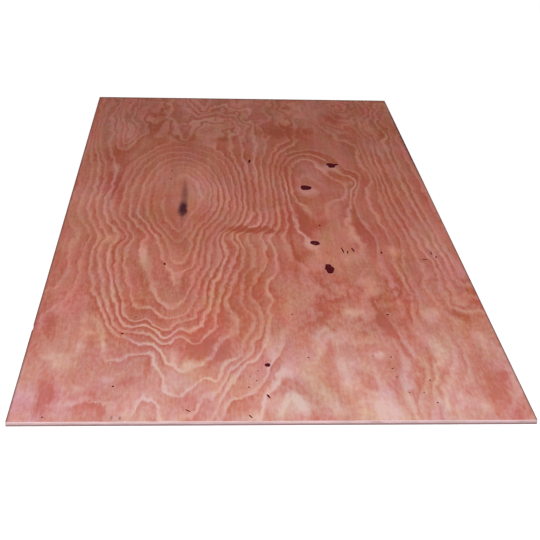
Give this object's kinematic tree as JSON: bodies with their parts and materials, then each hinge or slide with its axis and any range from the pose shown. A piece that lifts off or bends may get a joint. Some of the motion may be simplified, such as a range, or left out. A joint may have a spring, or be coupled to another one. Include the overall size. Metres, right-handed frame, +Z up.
{
  "type": "plywood sheet",
  "caption": "Flat rectangular sheet of softwood plywood with a rotary-cut face, dark dead knots torn shallow into the face, sawn square edges and worn arrises.",
  "frame": {"origin": "middle of the underside of the sheet, on the surface that it lies on", "axes": "+Z up out of the face veneer, +Y along the length and the face grain, +X across the width to the right"},
  "size_m": [1.22, 2.44, 0.012],
  "materials": {
    "plywood": "raw rotary-cut softwood veneer, unsanded and matte, pinkish brown"
  },
  "bodies": {
    "root": {"plywood_sheet": "plywood"}
  },
  "joints": []
}
